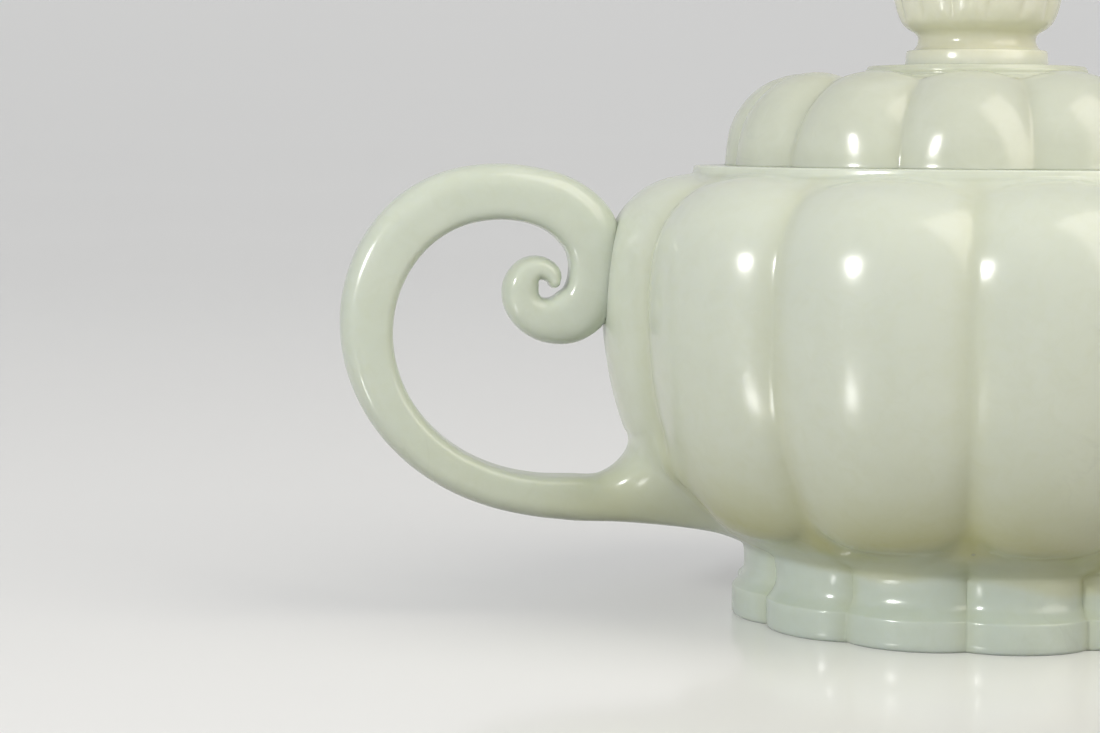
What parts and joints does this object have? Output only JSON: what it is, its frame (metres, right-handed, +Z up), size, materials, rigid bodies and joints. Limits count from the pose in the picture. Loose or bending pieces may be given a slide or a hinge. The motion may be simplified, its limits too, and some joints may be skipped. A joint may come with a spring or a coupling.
{
  "type": "jade teapot",
  "caption": "Carved jade teapot of melon form with a lobed body and foot, a scroll handle, a curved spout and a lobed lift-off lid with a bud finial.",
  "frame": {"origin": "centre of the foot's underside, on the pot's axis", "axes": "+Z up along the pot's axis, +X from the handle towards the spout"},
  "size_m": [0.1872, 0.1106, 0.106],
  "materials": {
    "pot_jade": "polished",
    "lid_jade": "polished",
    "finial_jade": "polished"
  },
  "bodies": {
    "pot": {"body_shell": "pot_jade", "foot_ring": "pot_jade", "mouth_collar": "pot_jade", "scroll_handle": "pot_jade", "spout": "pot_jade"},
    "lid": {"lid_dome": "lid_jade", "lid_tenon": "lid_jade", "finial_disc": "lid_jade", "finial_plinth": "finial_jade", "finial_bud": "finial_jade"}
  },
  "joints": [
    {"name": "lid_lift", "type": "slide", "parent": "pot", "child": "lid", "axis": [0, 0, 1], "range_m": [0, 0.06]}
  ]
}
